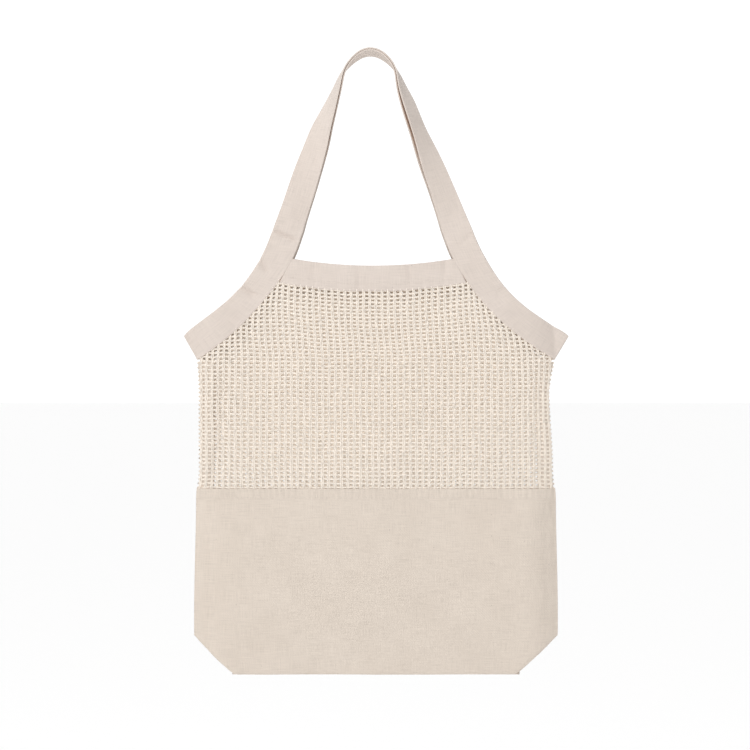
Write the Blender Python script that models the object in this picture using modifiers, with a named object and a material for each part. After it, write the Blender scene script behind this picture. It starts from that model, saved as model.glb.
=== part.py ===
"""Mesh produce bag of unbleached cotton, hanging from its two handles, nearly flat.

Metres, +Z up, front towards -Y. The origin is the hanging point, in the top of the handle loop.
The cloth is cut into flat panels at its creases. Seen from above the bag is a flattened hexagon:
a front and a back wall, and two gusset strips on each side that meet at a side seam. The base is
two halves tucked up between the walls, and at each bottom corner a triangle of the gusset is
folded in along a 45 degree crease. Opening the gussets turns the same panels into a square box.
"""
import math

import bpy
from mathutils import Vector

# Driving dimensions of the bag, in metres. Heights are measured up from the bottom edge.
WALL_HALF_WIDTH = 0.150        # centre line to the crease between wall and gusset strip
GUSSET_STRIP = 0.040           # crease to side seam; also half the depth of the open base
HALF_DEPTH = 0.010             # centre plane to each wall while the bag hangs flat
HANGING_HEIGHT = 0.646         # bottom edge to the underside of the handles
CANVAS_TOP = 0.193             # top of the canvas, where the net starts
HEM_HEIGHT = 0.012             # ribbed hem along the top of the canvas
MOUTH_SAG = 0.0075             # how far the mouth sags between the handles
TOP_BAND_EDGE = (0.0815, 0.4330)    # upper corner of the top band, at the handle strap
TOP_BAND_FOOT = (0.0970, 0.4080)    # lower corner of the top band
HANDLE_FOLD_HEIGHT = 0.4505    # line on which a handle folds over
STRAP_WIDTH = 0.030

# The armhole binding runs from the handle's foot to the side seam between two curves.
# Each is a cubic curve: start, two control points, end.
ARMHOLE_OUTER = ((0.1045, 0.4495), (0.1120, 0.4250), (0.1550, 0.3850), (0.1950, 0.3560))
ARMHOLE_INNER = ((0.0745, 0.4495), (0.0840, 0.4200), (0.1280, 0.3600), (0.1870, 0.3280))

# Half of a handle's centre line, from its foot to the top, as a cubic curve.
HANDLE_ARCH = ((0.0910, 0.4520), (0.0420, 0.5920), (0.0300, 0.6505), (0.0, 0.6505))
HANDLE_NEST = 0.0035           # the back handle passes under the front one by this much
HANDLE_SQUARE_END = 0.020      # length over which the strap's level end turns square to it
HANDLE_ROWS = 22               # rows of faces from foot to top

# Cloth thickness and the clearances left at the creases.
CLOTH = 0.0010
TOUCH = 0.0003                 # between pieces sewn to each other
NET_DROP = 0.0010              # net below the curved edges of the bindings
CREASE = 0.0010                # each side of a wall crease
SEAM_CREASE = 0.0030           # each side of a side seam or of the base's middle seam
CORNER_CREASE = 0.0035         # corner triangle to its 45 degree crease
CORNER_SEAM = 0.0070           # corner triangle to the side seam, which it nears part way open
CORNER_BLUNT = 0.0090          # cut off the corner triangle's square corner
BASE_CREASE = 0.0045           # base half to the bottom edge
BASE_END = 0.0040              # base half to the gusset, at the bottom edge
BASE_END_TAPER = 0.0130        # and as much more at its middle seam
HINGE_OFFSET = 0.0012          # handle fold line in front of the cloth

SEAM_TAPE = (0.022, 0.031)     # side seam allowance, measured from the wall crease
SEAM_TAPE_HEIGHTS = (0.046, 0.325)
BOTTOM_TAPE = (0.027, 0.036)   # bottom seam allowance, measured from the bottom edge
TIP_REACH = 0.0065             # how far the armhole binding's end stands past the side seam
CURVE_STEPS = 14

CANVAS_COLOUR = (0.72, 0.635, 0.555)
TAPE_COLOUR = (0.735, 0.650, 0.570)
NET_COLOUR = (0.84, 0.77, 0.67)

FOLD = math.asin(HALF_DEPTH / GUSSET_STRIP)
CORNER_FOLD = math.pi - math.asin(math.sqrt(2.0) * math.sin(FOLD))
SEAM_X = WALL_HALF_WIDTH + GUSSET_STRIP * math.cos(FOLD)


def clear_scene():
    for obj in list(bpy.data.objects):
        bpy.data.objects.remove(obj, do_unlink=True)


def make_collection(name):
    collection = bpy.data.collections.new(name)
    bpy.context.scene.collection.children.link(collection)
    return collection


def cloth_material(name, colour, roughness):
    material = bpy.data.materials.new(name)
    material.use_nodes = True
    shader = material.node_tree.nodes["Principled BSDF"]
    shader.inputs["Base Color"].default_value = (*colour, 1.0)
    shader.inputs["Roughness"].default_value = roughness
    shader.inputs["Metallic"].default_value = 0.0
    return material


def finish_object(obj, parent, colour, roughness=0.9):
    obj.data.materials.append(cloth_material(obj.name + "_cloth", colour, roughness))
    BAG.objects.link(obj)
    obj.parent = parent
    return obj


def axis_empty(name, location, rotation=(0.0, 0.0, 0.0)):
    """An empty on a fold line, which carries the panels that turn on it."""
    empty = bpy.data.objects.new(name, None)
    empty.empty_display_size = 0.03
    empty.location = location
    empty.rotation_euler = rotation
    BAG.objects.link(empty)
    return empty


def cubic(curve, t):
    a, b, c, d = (Vector(point) for point in curve)
    s = 1.0 - t
    return a * s ** 3 + b * 3 * s * s * t + c * 3 * s * t * t + d * t ** 3


def cubic_x(curve, x):
    """Height of a cubic curve at a given distance from the centre line."""
    low, high = 0.0, 1.0
    for _ in range(40):
        middle = 0.5 * (low + high)
        if cubic(curve, middle).x < x:
            low = middle
        else:
            high = middle
    return cubic(curve, low).y


def steps(start, end, count):
    return [start + (end - start) * i / count for i in range(count + 1)]


def panel(name, outline, parent, colour, thickness=CLOTH, lift=0.0):
    """A flat piece of cloth from a closed outline in its parent's plane."""
    data = bpy.data.curves.new(name, "CURVE")
    data.dimensions = "2D"
    data.fill_mode = "BOTH"
    data.extrude = thickness / 2
    spline = data.splines.new("POLY")
    spline.points.add(len(outline) - 1)
    for point, (u, v) in zip(spline.points, outline):
        point.co = (u, v, 0.0, 1.0)
    spline.use_cyclic_u = True
    obj = bpy.data.objects.new(name, data)
    obj.location = (0.0, 0.0, lift)
    return finish_object(obj, parent, colour)


def mirrored(points):
    return [(-u, v) for u, v in reversed(points)]


def mouth_height(x, corner):
    """The mouth's curves sag from their corners to the middle."""
    sag = MOUTH_SAG * corner[0] / TOP_BAND_EDGE[0]
    return corner[1] - sag * (1.0 - (x / corner[0]) ** 2)


# Walls ------------------------------------------------------------------------------------------

def canvas_wall(side, parent):
    half = WALL_HALF_WIDTH - CREASE
    top = CANVAS_TOP - HEM_HEIGHT
    outline = [(-half, 0.0), (half, 0.0), (half, top), (-half, top)]
    panel(side + "_canvas_wall", outline, parent, CANVAS_COLOUR)


def canvas_hem(side, parent):
    half = WALL_HALF_WIDTH - CREASE
    low = CANVAS_TOP - HEM_HEIGHT + TOUCH
    outline = [(-half, low), (half, low), (half, CANVAS_TOP), (-half, CANVAS_TOP)]
    panel(side + "_canvas_hem", outline, parent, CANVAS_COLOUR, thickness=1.5 * CLOTH)


def armhole_side(start, end):
    """Points along the net's armhole edge, from one distance from the centre to another."""
    return [(x, cubic_x(ARMHOLE_INNER, x) - NET_DROP) for x in steps(start, end, CURVE_STEPS)]


def net_wall(side, parent):
    half = WALL_HALF_WIDTH - CREASE
    foot = CANVAS_TOP + TOUCH
    mouth = [(x, mouth_height(x, TOP_BAND_FOOT) - NET_DROP)
             for x in steps(0.0, TOP_BAND_FOOT[0], CURVE_STEPS // 2)]
    right = [(half, foot)] + armhole_side(half, TOP_BAND_FOOT[0] + CREASE) + mouth[::-1]
    panel(side + "_net_wall", right + mirrored(right)[1:], parent, NET_COLOUR)


def top_band(side, parent):
    upper = steps(-TOP_BAND_EDGE[0] + CREASE, TOP_BAND_EDGE[0] - CREASE, CURVE_STEPS)
    lower = steps(TOP_BAND_FOOT[0] - CREASE, -TOP_BAND_FOOT[0] + CREASE, CURVE_STEPS)
    outline = [(x, mouth_height(x, TOP_BAND_EDGE)) for x in upper]
    outline += [(x, mouth_height(x, TOP_BAND_FOOT)) for x in lower]
    panel(side + "_top_band", outline[::-1], parent, TAPE_COLOUR)


def armhole_binding(side, hand, sign, parent):
    """The binding on a wall, from the handle's foot to the wall crease."""
    end = WALL_HALF_WIDTH - CREASE
    start_out, start_in = ARMHOLE_OUTER[0], ARMHOLE_INNER[0]
    outer = [(x, cubic_x(ARMHOLE_OUTER, x)) for x in steps(start_out[0], end, CURVE_STEPS)]
    inner = [(x, cubic_x(ARMHOLE_INNER, x)) for x in steps(end, start_in[0], CURVE_STEPS)]
    outline = outer[::-1] + inner[::-1]
    if sign < 0:
        outline = mirrored(outline)
    panel("%s_%s_armhole_binding" % (side, hand), outline, parent, TAPE_COLOUR)


# Gusset strips ----------------------------------------------------------------------------------

def strip_x(u):
    """Distance from the bag's centre line of a point on a gusset strip."""
    return WALL_HALF_WIDTH + u * math.cos(FOLD)


def canvas_strip(name, parent):
    slant = CREASE * math.sqrt(2.0)
    inner, outer = CREASE, GUSSET_STRIP - SEAM_CREASE
    outline = [(inner, inner + slant), (outer, outer + slant)]
    outline += [(outer, CANVAS_TOP), (inner, CANVAS_TOP)]
    panel(name + "_canvas_gusset", outline, parent, CANVAS_COLOUR)


def net_strip(name, parent):
    inner, outer = CREASE, GUSSET_STRIP - SEAM_CREASE
    foot = CANVAS_TOP + TOUCH
    edge = [(u, cubic_x(ARMHOLE_INNER, strip_x(u)) - NET_DROP) for u in steps(outer, inner, 5)]
    panel(name + "_net_gusset", [(inner, foot), (outer, foot)] + edge, parent, NET_COLOUR)


def binding_strip(name, parent):
    """The binding's lower end, from the wall crease to the side seam."""
    inner, outer = CREASE, GUSSET_STRIP - SEAM_CREASE
    low = [(u, cubic_x(ARMHOLE_INNER, strip_x(u))) for u in steps(inner, outer, 5)]
    high = [(u, cubic_x(ARMHOLE_OUTER, strip_x(u))) for u in steps(outer, inner, 5)]
    panel(name + "_binding_end", low + high, parent, TAPE_COLOUR)


def binding_tip(hand, parent, outward):
    """The sewn end of the binding, which stands out past the side seam."""
    foot = GUSSET_STRIP + CREASE
    low = cubic_x(ARMHOLE_INNER, SEAM_X - CREASE) + 0.004
    high = cubic_x(ARMHOLE_OUTER, SEAM_X + CREASE)
    reach = foot + TIP_REACH
    outline = [(foot, low), (reach, high - 0.008), (reach, high - 0.004), (foot, high)]
    panel(hand + "_binding_tip", outline, parent, TAPE_COLOUR, lift=outward * 2 * CLOTH)


def side_seam(hand, parent, inward):
    """The side seam's allowance, inside the front strip."""
    near, far = SEAM_TAPE
    low, high = SEAM_TAPE_HEIGHTS
    outline = [(near, low), (far, low), (far, high), (near, high)]
    lift = inward * (CLOTH + TOUCH)
    panel(hand + "_side_seam", outline, parent, TAPE_COLOUR, lift=lift)


def corner_triangle(name, parent, turn):
    """A bottom corner of the gusset, folded in along the 45 degree crease."""
    inset = CORNER_CREASE * math.sqrt(2.0)
    far = GUSSET_STRIP - CORNER_SEAM
    near = 2 * CREASE
    blunt = CORNER_BLUNT
    outline = [(near + inset, near), (far - blunt, near), (far, near + blunt), (far, far - inset)]
    obj = panel(name + "_corner", outline, parent, CANVAS_COLOUR)
    obj.rotation_mode = "AXIS_ANGLE"
    obj.rotation_axis_angle = (turn * CORNER_FOLD, 1.0, 1.0, 0.0)


def gusset(name, x_sign, y_sign):
    """One side strip of the bag, from a wall crease to the side seam."""
    heading = FOLD if x_sign * y_sign < 0 else -FOLD
    if x_sign < 0:
        heading += math.pi
    location = (x_sign * WALL_HALF_WIDTH, y_sign * HALF_DEPTH, -HANGING_HEIGHT)
    axis = axis_empty(name + "_axis", location, (math.pi / 2, 0.0, heading))
    canvas_strip(name, axis)
    net_strip(name, axis)
    binding_strip(name, axis)
    corner_triangle(name, axis, turn=-x_sign * y_sign)
    return axis


# Base -------------------------------------------------------------------------------------------

def base_half(side, y_sign):
    """Half the base, tucked up from the bottom edge towards the bag's middle."""
    turn = math.pi / 2 + y_sign * FOLD
    location = (0.0, y_sign * HALF_DEPTH, -HANGING_HEIGHT)
    axis = axis_empty(side + "_base_axis", location, (turn, 0.0, 0.0))
    end = WALL_HALF_WIDTH - BASE_END
    low, high = BASE_CREASE, GUSSET_STRIP - SEAM_CREASE
    outline = [(-end, low), (end, low), (end - BASE_END_TAPER, high), (BASE_END_TAPER - end, high)]
    panel(side + "_base_half", outline, axis, CANVAS_COLOUR)
    return axis


def bottom_seam(parent):
    """The bottom seam's allowance, inside the bag on the front half of the base."""
    half = WALL_HALF_WIDTH - BASE_END - BASE_END_TAPER
    low, high = BOTTOM_TAPE
    outline = [(-half, low), (half, low), (half, high), (-half, high)]
    panel("bottom_seam", outline, parent, TAPE_COLOUR, lift=CLOTH + TOUCH)


# Handles ----------------------------------------------------------------------------------------

def handle_rows():
    """Rows along half a handle: place, direction and share of the way from foot to top."""
    places = [cubic(HANDLE_ARCH, i / HANDLE_ROWS) for i in range(HANDLE_ROWS + 1)]
    lengths = [0.0]
    for before, after in zip(places, places[1:]):
        lengths.append(lengths[-1] + (after - before).length)
    rows = []
    for i, place in enumerate(places):
        before = places[max(i - 1, 0)]
        after = places[min(i + 1, HANDLE_ROWS)]
        along = (after - before).normalized()
        if i == HANDLE_ROWS:
            along = Vector((-1.0, 0.0))
        rows.append((place, along, lengths[i], lengths[i] / lengths[-1]))
    return rows


def handle_edges(row, y_sign):
    """The strap's two edges at one row. It turns from facing front to lying flat on top."""
    place, along, length, share = row
    outward = Vector((along.y, -along.x))
    nest = HANDLE_NEST * share if y_sign > 0 else 0.0
    centre = place - outward * nest
    square = min(length / HANDLE_SQUARE_END, 1.0)
    across = Vector((1.0, 0.0)).lerp(outward, square).normalized()
    half = STRAP_WIDTH / 2 / max(across.dot(outward), 0.5)
    turn = share * math.pi / 2
    flat = across * half * math.cos(turn)
    y_centre = y_sign * HALF_DEPTH * (1.0 - share)
    y_edge = half * math.sin(turn)
    outer = (centre.x + flat.x, y_centre + y_edge, centre.y + flat.y)
    inner = (centre.x - flat.x, y_centre - y_edge, centre.y - flat.y)
    return outer, inner


def handle(side, y_sign):
    """A strap that arches from one armhole binding to the other."""
    hinge = Vector((0.0, y_sign * (HALF_DEPTH + HINGE_OFFSET), HANDLE_FOLD_HEIGHT - HANGING_HEIGHT))
    axis = axis_empty(side + "_handle_axis", hinge)
    right = [handle_edges(row, y_sign) for row in handle_rows()]
    left = [tuple((-x, y, z) for x, y, z in edges) for edges in right[-2::-1]]
    drop = Vector((0.0, 0.0, HANGING_HEIGHT)) + hinge
    vertices = [Vector(point) - drop for edges in right + left for point in edges]
    rows = len(right + left)
    faces = [(2 * i, 2 * i + 1, 2 * i + 3, 2 * i + 2) for i in range(rows - 1)]
    mesh = bpy.data.meshes.new(side + "_handle")
    mesh.from_pydata(vertices, [], faces)
    obj = bpy.data.objects.new(side + "_handle", mesh)
    finish_object(obj, axis, TAPE_COLOUR)
    solid = obj.modifiers.new("strap_thickness", "SOLIDIFY")
    solid.thickness = CLOTH
    solid.offset = 0.0
    mesh.shade_smooth()
    return axis


def wall(side, y_sign):
    location = (0.0, y_sign * HALF_DEPTH, -HANGING_HEIGHT)
    axis = axis_empty(side + "_wall_axis", location, (math.pi / 2, 0.0, 0.0))
    canvas_wall(side, axis)
    canvas_hem(side, axis)
    net_wall(side, axis)
    top_band(side, axis)
    armhole_binding(side, "left", -1, axis)
    armhole_binding(side, "right", 1, axis)


clear_scene()
BAG = make_collection("mesh_produce_bag")

for side_name, side_sign in (("front", -1), ("back", 1)):
    wall(side_name, side_sign)
    base_axis = base_half(side_name, side_sign)
    if side_sign < 0:
        bottom_seam(base_axis)
    handle(side_name, side_sign)

for hand_name, hand_sign in (("left", -1), ("right", 1)):
    front_axis = gusset(hand_name + "_front", hand_sign, -1)
    gusset(hand_name + "_back", hand_sign, 1)
    side_seam(hand_name, front_axis, inward=-hand_sign)
    binding_tip(hand_name, front_axis, outward=hand_sign)
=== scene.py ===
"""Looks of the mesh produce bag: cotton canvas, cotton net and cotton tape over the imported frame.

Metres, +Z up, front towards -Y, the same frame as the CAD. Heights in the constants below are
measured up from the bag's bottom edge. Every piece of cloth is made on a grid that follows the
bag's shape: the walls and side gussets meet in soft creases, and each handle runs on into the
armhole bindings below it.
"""

import math

import bpy
import numpy as np
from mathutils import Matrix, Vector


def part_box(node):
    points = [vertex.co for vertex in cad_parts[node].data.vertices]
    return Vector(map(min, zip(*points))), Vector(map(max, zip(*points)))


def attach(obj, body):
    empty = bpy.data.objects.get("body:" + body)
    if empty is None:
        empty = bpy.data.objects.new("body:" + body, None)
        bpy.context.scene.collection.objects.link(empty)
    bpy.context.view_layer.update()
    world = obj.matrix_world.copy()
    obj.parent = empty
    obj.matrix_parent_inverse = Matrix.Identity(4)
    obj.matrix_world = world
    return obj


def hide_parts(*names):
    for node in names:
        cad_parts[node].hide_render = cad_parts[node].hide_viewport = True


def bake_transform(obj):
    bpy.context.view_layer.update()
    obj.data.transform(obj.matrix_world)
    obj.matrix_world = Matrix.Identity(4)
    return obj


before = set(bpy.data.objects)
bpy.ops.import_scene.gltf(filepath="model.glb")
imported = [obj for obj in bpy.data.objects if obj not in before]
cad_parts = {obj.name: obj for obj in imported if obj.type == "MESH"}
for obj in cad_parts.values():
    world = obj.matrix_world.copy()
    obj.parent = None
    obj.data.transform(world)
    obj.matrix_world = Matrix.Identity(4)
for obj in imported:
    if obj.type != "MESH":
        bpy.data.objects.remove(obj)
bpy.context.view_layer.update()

SIDES = {"front": -1, "back": 1}
HANDS = {"left": -1, "right": 1}

# Places that come from the frame ----------------------------------------------------------------

WALL_LOW, WALL_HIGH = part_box("front_canvas_wall")
BOTTOM = WALL_LOW.z
HALF_DEPTH = -0.5 * (WALL_LOW.y + WALL_HIGH.y)
CANVAS_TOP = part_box("front_canvas_hem")[1].z - BOTTOM
CREASE_X = 0.5 * (WALL_HIGH.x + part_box("right_front_canvas_gusset")[0].x)
SEAM_X = 0.5 * (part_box("right_front_canvas_gusset")[1].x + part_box("right_binding_tip")[0].x)
STRIP = math.hypot(SEAM_X - CREASE_X, HALF_DEPTH)
HALF_CLOTH = CREASE_X + STRIP
FOLD = math.asin(HALF_DEPTH / STRIP)

# Shape of the cloth, in metres ------------------------------------------------------------------

# Cubic curves of the armhole binding's edges and of half a handle's centre line.
ARMHOLE_OUTER = ((0.1082, 0.4495), (0.1404, 0.3771), (0.1874, 0.3690), (0.1985, 0.3520))
ARMHOLE_INNER = ((0.0770, 0.4495), (0.0850, 0.4200), (0.1280, 0.3600), (0.1870, 0.3280))
HANDLE_ARCH = ((0.0915, 0.4520), (0.0446, 0.5850), (0.0289, 0.6510), (0.0, 0.6510))
ARCH_SPREAD = (0.155, 0.610, 0.636)   # the arch widens by this share between these heights
TOP_GAP = 0.00165                  # from the middle of one handle to the other's at the top
SIDE_GAP = 0.0012                  # how much further the back handle lies inside halfway up
BACK_SHIFT = -0.0007               # how far the back handle hangs to the side of the front one
STRAP_WIDTH = 0.030
HANDLE_WIDTH = 0.0278
SQUARE_END = 0.020                 # how far up a handle its cross-section turns square to it
TOP_TURN = math.radians(92)        # the straps lie a little tipped at the top
TURN_START = {"left": 0.10, "right": -0.18}   # where along a half handle its turn starts
TURN_PAUSE = {"left": 0.0, "right": math.radians(11)}   # the turn holds back below the top
PAUSE_PLACE, PAUSE_WIDTH = 0.70, 0.12      # where along a half handle, and over how much of it
STRAP_CONVERGE = 1.5               # how the straps close up towards each other: a power
STRAP_STEP = 0.0016                # from one row of a strap's grid to the next
SPLIT = 0.40                       # share of the armhole's curves where strap meets binding end
MOUTH_SAG = 0.0075                 # how much lower the mouth hangs at its middle
BAND_EDGE = (0.0835, 0.4322)       # corners of the top band: half its length, height
BAND_FOOT = (0.0978, 0.4077)
HANDLE_THIN = (0.44, 0.50)         # heights between which a strap thins to a handle
OFF_BAG = (0.445, 0.470)           # heights between which a strap leaves the bag's own relief
HEM = 0.012                        # height of the canvas's hem
HEM_STITCH = 0.0028                # the hem's stitches above its lower edge

CANVAS_THICK = 0.0009
TAPE_THICK = 0.0026
BAND_THICK = 0.0023
HANDLE_THICK = 0.0015
SIDE_BULGE = 0.0034                # how far the side gussets swell out
TIP_STRETCH = {"left": 1.0, "right": 1.35}      # how far the tips stand out, for their cloth
FLARE = 0.0021                     # how much wider the canvas is at its foot
CREASE_SOFT = 0.0025               # how gradually the cloth turns at a wall's crease
FOOT_SOFT = 0.0015                 # and at the foot of the canvas, into the 45 degree fold

# The net's own shape at the sides, by the hand's sign.
VALLEY = {-1: 0.30, 1: 0.52}       # share of the gusset strip where the net dips in
VALLEY_DRIFT = {-1: 0.22, 1: 0.0}  # how much further round it dips lower down
SIDE_SHAPE = {-1: 1.0, 1: 0.75}    # strength of the dip and of the swell beside it
NARROW = {-1: 0.0, 1: 0.0040}      # how much more the net is drawn in near its top
DIP, SWELL = 0.0030, 0.0034

# The upper part of the bag hangs a little to the left: height, shift.
LEAN = ((0.33, 0.0), (0.38, -0.0036), (0.43, -0.0030), (0.49, -0.0040), (0.53, -0.0049),
        (0.57, -0.0062), (0.66, -0.0062))
CORNER_TUCK = {"left": 0.0026, "right": 0.0048}  # how far each bottom corner is drawn in
TUCK_HEIGHT = {"left": 0.024, "right": 0.046}

NET_COLUMN = 0.0065                # from column to column of the net
NET_ROW = 0.00425                  # from row to row
NET_PLY = 0.00080                  # radius of one of a column's two plies
NET_PLY_SPREAD = 0.00076           # from a column's middle to each ply's
NET_WEFT = 0.00115                 # radius of a row's yarn
NET_TUCK = 0.0030                  # how far the net runs up under the bindings
NET_FOOT = 0.003                   # how far its first row lies below the canvas's top
ROW_OVERLAP = 0.0011               # how far each half of a row runs past the centre line
ROW_DEPTH = 0.0006                 # how far the rows lie behind the cloth's middle
ROW_WAVE = 0.00022                 # how far a row waves up and down, and in and out
PLY_LIFT = 0.0003                  # how far the columns stand out from the cloth's middle
NET_SINK = 0.0012                  # how far the net's foot lies behind the canvas
BACK_STRETCH = 1.021               # the back net is stretched this much more than the front one,
STRETCH_HEIGHT = 0.3115            # about this height, so its threads show in the front holes

FLOOR_DROP = 1.45                  # the floor below the hanging point
FLOOR_HALF = 60.0                  # half the floor's width

# The studio, in the frame's own coordinates.
CAMERA_PLACE = (-0.001, -1.6, -0.3345)
CAMERA_LENS = 73.35                # in millimetres, on a 36 mm sensor
KEY_PLACE, KEY_SIZE, KEY_WATTS = (-0.5, -1.9, 0.9), 1.2, 24.0
KEY_AIM = (0.0, 0.0, -0.33)
OVERHEAD_STRENGTH, OVERHEAD_ANGLE = 0.7, math.radians(70)
# The background's grey: place along an axis from 0 to 1, then grey, at both ends of each ramp.
GREY_BY_Y = ((0.35, 0.66), (0.80, 1.15))
GREY_BY_X = ((0.62, 1.0), (0.90, 0.30))


# Small helpers ----------------------------------------------------------------------------------

def smooth(value, low, high):
    """0 below low, 1 above high, and an S curve between them."""
    share = np.clip((value - low) / (high - low), 0.0, 1.0)
    return share * share * (3.0 - 2.0 * share)


def cubic(curve, t):
    """Points of a cubic Bezier curve."""
    t = np.asarray(t, float)[..., None]
    a, b, c, d = (np.array(point) for point in curve)
    s = 1.0 - t
    return a * s ** 3 + b * 3 * s * s * t + c * 3 * s * t * t + d * t ** 3


FINE = np.linspace(0.0, 1.0, 400)
INNER_LINE = cubic(ARMHOLE_INNER, FINE)
OUTER_LINE = cubic(ARMHOLE_OUTER, FINE)


def run_lengths(points):
    """Distance along a line of points to each of them."""
    return np.concatenate([[0.0], np.cumsum(np.linalg.norm(np.diff(points, axis=0), axis=1))])


def along_line(line, share):
    """Points at shares of a line's length."""
    lengths = run_lengths(line)
    return np.stack([np.interp(np.asarray(share) * lengths[-1], lengths, column)
                     for column in line.T], -1)


def armhole_height(x):
    """Height of the armhole binding's inner edge, and of the band's foot between the bindings."""
    distance = np.abs(x)
    arm = np.interp(distance, INNER_LINE[:, 0], INNER_LINE[:, 1])
    band = mouth_height(distance, BAND_FOOT)
    return np.where(distance < BAND_FOOT[0], np.minimum(arm, band), arm)


def mouth_height(x, corner):
    """Height of a sagging edge of the mouth that ends at a corner."""
    sag = MOUTH_SAG * corner[0] / BAND_EDGE[0]
    return corner[1] - sag * (1.0 - (x / corner[0]) ** 2)


def lean(height):
    """How far the bag hangs to the side at a height."""
    heights, shifts = zip(*LEAN)
    return np.interp(height, heights, shifts)


def waves(x, z, seed, length, count=7):
    """A smooth random height made of a few crossed waves, about -1 to 1."""
    draw = np.random.default_rng(seed)
    total = 0.0
    for _ in range(count):
        angle, phase = draw.uniform(0.0, math.pi), draw.uniform(0.0, 2 * math.pi)
        wave = length * draw.uniform(0.6, 1.7)
        total = total + np.sin(2 * math.pi * (x * math.cos(angle) + z * math.sin(angle)) / wave
                               + phase)
    return total / math.sqrt(count)


def crease(x, z, start, end, depth, width):
    """A soft groove along a line from start to end, in the cloth's own plane."""
    a, b = np.array(start), np.array(end)
    length = np.hypot(*(b - a))
    along_x, along_z = (b - a) / length
    along = (x - a[0]) * along_x + (z - a[1]) * along_z
    off = (x - a[0]) * along_z - (z - a[1]) * along_x
    ends = smooth(along, -0.35 * length, 0.2 * length) * smooth(-along, -1.35 * length,
                                                                 -0.8 * length)
    return -depth * np.exp(-(off / width) ** 2) * ends


def spaced(start, end, step, edge=0.0006):
    """Places about a step apart, with one more close to each end to keep the edge crisp."""
    count = max(2, round(abs(end - start) / step))
    places = np.linspace(start, end, count + 1)
    inset = math.copysign(edge, end - start)
    return np.concatenate([places[:1], [start + inset], places[1:-1], [end - inset], places[-1:]])


# Cloth surface ----------------------------------------------------------------------------------

FRONT_GROOVES = (
    # start, end, depth, width: the folds and dents that show on the front cloth
    ((-0.1745, 0.020), (-0.1735, 0.186), 0.00100, 0.0034),
    ((-0.1390, 0.000), (-0.1420, 0.045), 0.00070, 0.0050),
    ((0.1780, 0.060), (0.1770, 0.180), 0.00035, 0.0030),
    ((-0.064, 0.398), (-0.066, 0.430), 0.00070, 0.0036),
    ((-0.018, 0.394), (-0.0185, 0.424), 0.00090, 0.0032),
    ((0.036, 0.396), (0.0345, 0.425), 0.00090, 0.0032),
    ((0.070, 0.398), (0.0730, 0.432), 0.00130, 0.0034),
)
STRAP_GROOVES = (
    ((-0.107, 0.4625), (-0.084, 0.4520), 0.0032, 0.0026),
    ((-0.120, 0.4320), (-0.114, 0.4200), 0.0030, 0.0030),
    ((-0.140, 0.4050), (-0.128, 0.3950), 0.0028, 0.0032),
    ((0.088, 0.4480), (0.101, 0.4580), 0.0011, 0.0034),
    ((0.134, 0.4000), (0.126, 0.3930), 0.0009, 0.0035),
)


def past_crease(c):
    """How much of a distance along the cloth lies past the wall's crease, turning softly."""
    return CREASE_SOFT * np.logaddexp(0.0, (c - CREASE_X) / CREASE_SOFT)


def net_bulge(z):
    """How much of the net's own side shape there is at a height."""
    return smooth(z, CANVAS_TOP - 0.012, CANVAS_TOP + 0.020) * (1.0 - smooth(z, 0.29, 0.335))


def section(c, z, sign, y_sign):
    """The bag's cross-section: how far from the centre line, and from the middle plane, the cloth
    lies at a distance c along it from the centre line."""
    strip = past_crease(c)
    share = np.clip(strip / STRIP, 0.0, 1.05)
    x = c - strip + strip * math.cos(FOLD)
    depth = HALF_DEPTH - strip * math.sin(FOLD)
    depth = depth + SIDE_BULGE * np.sin(math.pi * np.clip(share, 0, 1))
    net = net_bulge(z)
    valley = VALLEY[sign] + VALLEY_DRIFT[sign] * smooth(-z, -0.27, -0.20)
    dip = np.exp(-((share - valley) / 0.13) ** 2)
    swell = np.exp(-((share - valley - 0.36) / 0.20) ** 2)
    strength = SIDE_SHAPE[sign] * (1.0 if y_sign < 0 else 0.8)
    depth = depth + net * strength * (SWELL * swell - DIP * dip)
    narrow = 0.0022 + NARROW[sign] * smooth(z, 0.21, 0.30)
    flare = FLARE * smooth(-z, -0.19, -0.06)
    x = x - net * narrow * share ** 1.5 + flare * share
    rounding = np.sqrt(np.clip(1.0 - share, 0.0, 1.0) * 14.0)
    return x, depth * np.clip(rounding, 0.0, 1.0) + 0.0005 * (1.0 - np.clip(rounding, 0.0, 1.0))


def relief(u, z, y_sign):
    """The cloth's own unevenness, outwards from the bag."""
    seed = 11 if y_sign < 0 else 47
    soft = 0.00075 * waves(u, z, seed, 0.085) + 0.00022 * waves(u, z, seed + 1, 0.027)
    soft = soft * smooth(-np.abs(u), -HALF_CLOTH, -0.150)
    ribs = np.cos(2 * math.pi * (u / NET_COLUMN + 0.25 * waves(u, 0 * u, seed + 2, 0.05)))
    hem = smooth(z, CANVAS_TOP - HEM, CANVAS_TOP - HEM + 0.002)
    hem = hem * (1.0 - smooth(z, CANVAS_TOP + 0.001, CANVAS_TOP + 0.002))
    soft = soft + hem * (0.00035 + 0.00026 * ribs)
    if y_sign < 0:
        for start, end, depth, width in FRONT_GROOVES:
            soft = soft + crease(u + lean(z), z, start, end, depth, width)
    return soft


def drawn_in(x, z):
    """Where cloth at a place across the bag hangs: leaning above, its bottom corners drawn in."""
    for hand, sign in HANDS.items():
        low = smooth(-z, -TUCK_HEIGHT[hand], 0.3 * TUCK_HEIGHT[hand])
        x = x - sign * CORNER_TUCK[hand] * low * smooth(sign * x, 0.09, 0.15)
    return x + lean(z)


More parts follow.
